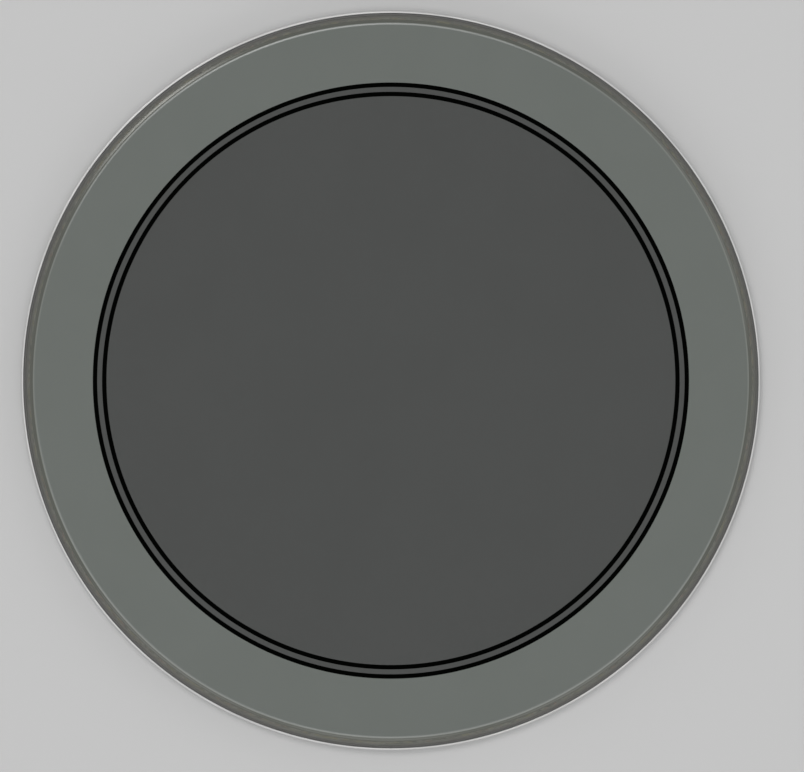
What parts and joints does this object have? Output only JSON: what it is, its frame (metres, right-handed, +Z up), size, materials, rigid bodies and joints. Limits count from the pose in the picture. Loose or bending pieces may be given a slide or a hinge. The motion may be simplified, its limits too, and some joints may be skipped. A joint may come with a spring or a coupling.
{
  "type": "drum head",
  "caption": "Round bass drum head: smoke film with a formed collar, its perforated edge locked by resin in an aluminium hoop, with a bonded damping ring and printed ring lines.",
  "frame": {"origin": "centre of the hoop's underside, on the surface that the head lies on", "axes": "+Z up through the playing face along the head's axis; +Y towards twelve o'clock, opposite the hoop's seam"},
  "size_m": [0.5716, 0.5715, 0.0201],
  "materials": {
    "hoop_aluminium": "satin, rolled",
    "cast_resin": "cloudy, satin",
    "smoke_film": "translucent smoke-grey polyester, satin gloss",
    "ring_film": "translucent grey polyester, satin",
    "ring_adhesive": "clear, dull",
    "black_ink": "printed, matte"
  },
  "bodies": {
    "root": {"hoop_channel": "hoop_aluminium", "hoop_splice": "hoop_aluminium", "resin_lock": "cast_resin", "playing_film": "smoke_film", "damping_ring": "ring_film", "damping_ring_bond": "ring_adhesive", "outer_print_ring": "black_ink", "inner_print_ring": "black_ink"}
  },
  "joints": []
}
